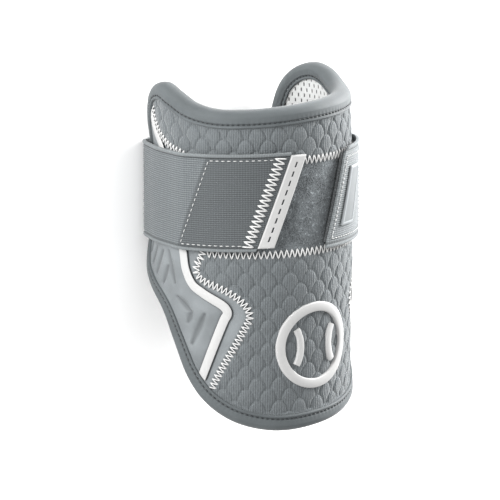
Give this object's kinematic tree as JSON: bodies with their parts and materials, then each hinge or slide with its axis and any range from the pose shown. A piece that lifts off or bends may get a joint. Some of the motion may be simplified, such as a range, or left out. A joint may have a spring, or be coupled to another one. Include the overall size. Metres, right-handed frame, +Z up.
{
  "type": "baseball elbow guard",
  "caption": "Padded wraparound batter's elbow guard: a C-shaped shell with quilted panels and folded binding, held shut by a wide elastic hook-and-loop strap.",
  "frame": {"origin": "under the middle of the guard, on the surface that it lies on", "axes": "+Z up through the front line of the shell, +Y along the arm towards the upper-arm end, +X towards the strap's badge end"},
  "size_m": [0.1126, 0.1822, 0.0925],
  "materials": {
    "lining_mesh": "white perforated knit",
    "pad_foam": "closed-cell moulded foam",
    "quilted_fabric": "soft ribbed knit pressed into rounded scales",
    "moulded_panel": "smooth pressed face with slanted grooves",
    "white_rubber": "satin moulded rubber",
    "loop_velour": "napped loop pile",
    "binding_tape": "smooth folded jersey tape",
    "strap_elastic": "fine horizontal ribs",
    "hook_tape": "fine moulded hooks",
    "badge_print": "satin grey transfer"
  },
  "bodies": {
    "root": {"lining": "lining_mesh", "base_pad": "pad_foam", "lower_quilted_panel": "quilted_fabric", "upper_quilted_panel": "quilted_fabric", "left_side_panel": "moulded_panel", "right_side_panel": "moulded_panel", "left_stripe": "white_rubber", "right_stripe": "white_rubber", "loop_field": "loop_velour", "edge_binding": "binding_tape", "strap": "strap_elastic", "front_hook_pad": "hook_tape", "side_hook_pad": "hook_tape", "pull_tab": "white_rubber", "strap_badge": "badge_print", "emblem_ring": "white_rubber", "emblem_left_seam": "white_rubber", "emblem_right_seam": "white_rubber"}
  },
  "joints": []
}
